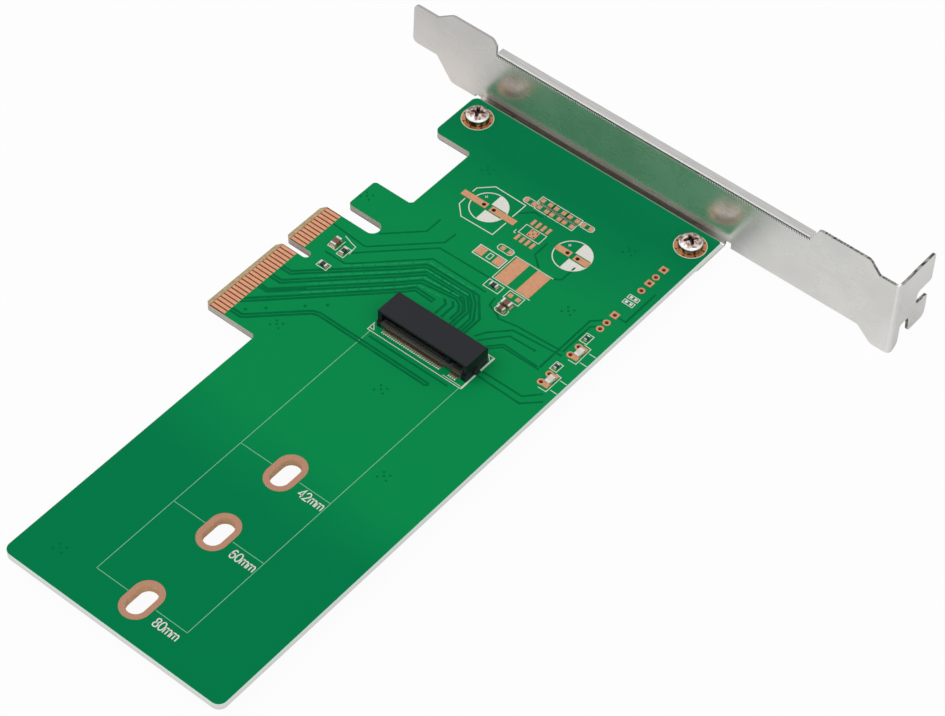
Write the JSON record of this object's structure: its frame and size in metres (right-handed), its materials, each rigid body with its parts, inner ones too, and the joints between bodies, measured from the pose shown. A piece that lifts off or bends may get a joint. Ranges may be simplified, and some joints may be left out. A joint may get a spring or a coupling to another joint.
{
  "type": "nvme adapter card",
  "caption": "Flat adapter card with a keyed edge connector, a low module socket, slotted stud holes and a folded slot bracket screwed to its end.",
  "frame": {"origin": "middle of the key notch on the contact edge, at half the board's thickness", "axes": "+X up the card away from the slot it plugs into, +Y along the card towards the bracket, +Z out of the component side"},
  "size_m": [0.12, 0.1583, 0.0216],
  "materials": {
    "board_mask": "semi-gloss green solder mask",
    "plated_copper": "bare plated copper",
    "edge_gold": "plated contact strips",
    "bracket_steel": "satin plated sheet",
    "screw_steel": "bright plated",
    "socket_plastic": "matt moulded",
    "socket_gold": "plated spring strip",
    "tinned_metal": "tinned",
    "chip_black": "glazed black",
    "chip_tan": "fired ceramic",
    "lens_pale": "pale clear resin"
  },
  "bodies": {
    "root": {"circuit_board": "board_mask", "edge_contacts_top": "edge_gold", "edge_contacts_bottom": "edge_gold", "stud_ring_42": "plated_copper", "stud_ring_60": "plated_copper", "stud_ring_80": "plated_copper", "bracket": "bracket_steel", "bracket_screw_lower": "screw_steel", "bracket_screw_upper": "screw_steel", "screw_pad_lower": "plated_copper", "screw_pad_upper": "plated_copper", "socket_housing": "socket_plastic", "socket_contacts_front": "socket_gold", "socket_contacts_rear": "socket_gold", "socket_anchor_low": "tinned_metal", "socket_anchor_high": "tinned_metal", "capacitor_pads_low": "plated_copper", "capacitor_pads_high": "plated_copper", "header_pads_rear": "plated_copper", "header_pads_front": "plated_copper", "edge_pads": "tinned_metal", "choke_pads": "plated_copper", "regulator_pads": "plated_copper", "fuse_pads": "plated_copper", "pair_pads": "plated_copper", "led_pads": "plated_copper", "chip_pads": "plated_copper", "chip_resistors": "chip_black", "chip_resistor_caps": "tinned_metal", "chip_capacitors": "chip_tan", "chip_capacitor_caps": "tinned_metal", "led_lenses": "lens_pale", "led_caps": "tinned_metal"}
  },
  "joints": []
}
